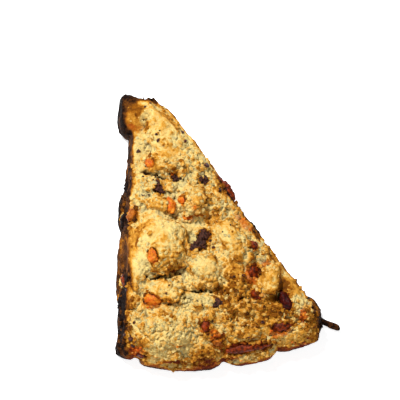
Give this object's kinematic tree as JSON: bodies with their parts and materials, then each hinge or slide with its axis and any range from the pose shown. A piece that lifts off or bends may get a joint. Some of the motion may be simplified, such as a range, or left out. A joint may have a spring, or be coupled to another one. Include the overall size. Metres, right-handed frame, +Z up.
{
  "type": "scone",
  "caption": "Wedge-shaped scone with a lumpy, cracked and browned top, a flat base, and chocolate chunks and pieces of dried apricot baked into the dough.",
  "frame": {"origin": "centre of the bounding box of the flat base, on the surface that the scone rests on", "axes": "+Z up, +Y towards the narrow tip, -Y towards the curved outer rim, +X towards the right cut side seen from above"},
  "size_m": [0.0974, 0.1166, 0.0292],
  "materials": {
    "dough": "matte, crumbly baked crust, pale in the creases and brown on the edges",
    "chocolate": "dark, slightly glossy",
    "apricot": "sticky, translucent orange",
    "cherry": "sticky, dark red"
  },
  "bodies": {
    "root": {"dough": "dough", "chocolate_long": "chocolate", "chocolate_upper": "chocolate", "chocolate_right": "chocolate", "chocolate_great_upper": "chocolate", "chocolate_great_lower": "chocolate", "chocolate_shelf": "chocolate", "chocolate_side_upper": "chocolate", "chocolate_side_middle": "chocolate", "chocolate_side_low": "chocolate", "cherry_right": "cherry", "apricot_tip": "apricot", "apricot_ledge": "apricot", "apricot_round": "apricot", "apricot_under_gold": "apricot", "apricot_great": "apricot", "apricot_left": "apricot", "apricot_crumbled": "apricot", "apricot_right_small": "apricot", "apricot_right": "apricot", "apricot_right_low": "apricot", "apricot_corner": "apricot", "apricot_middle": "apricot", "apricot_middle_low": "apricot", "apricot_rim": "apricot", "apricot_rim_left": "apricot", "apricot_side_right": "apricot", "apricot_side_left": "apricot"}
  },
  "joints": []
}
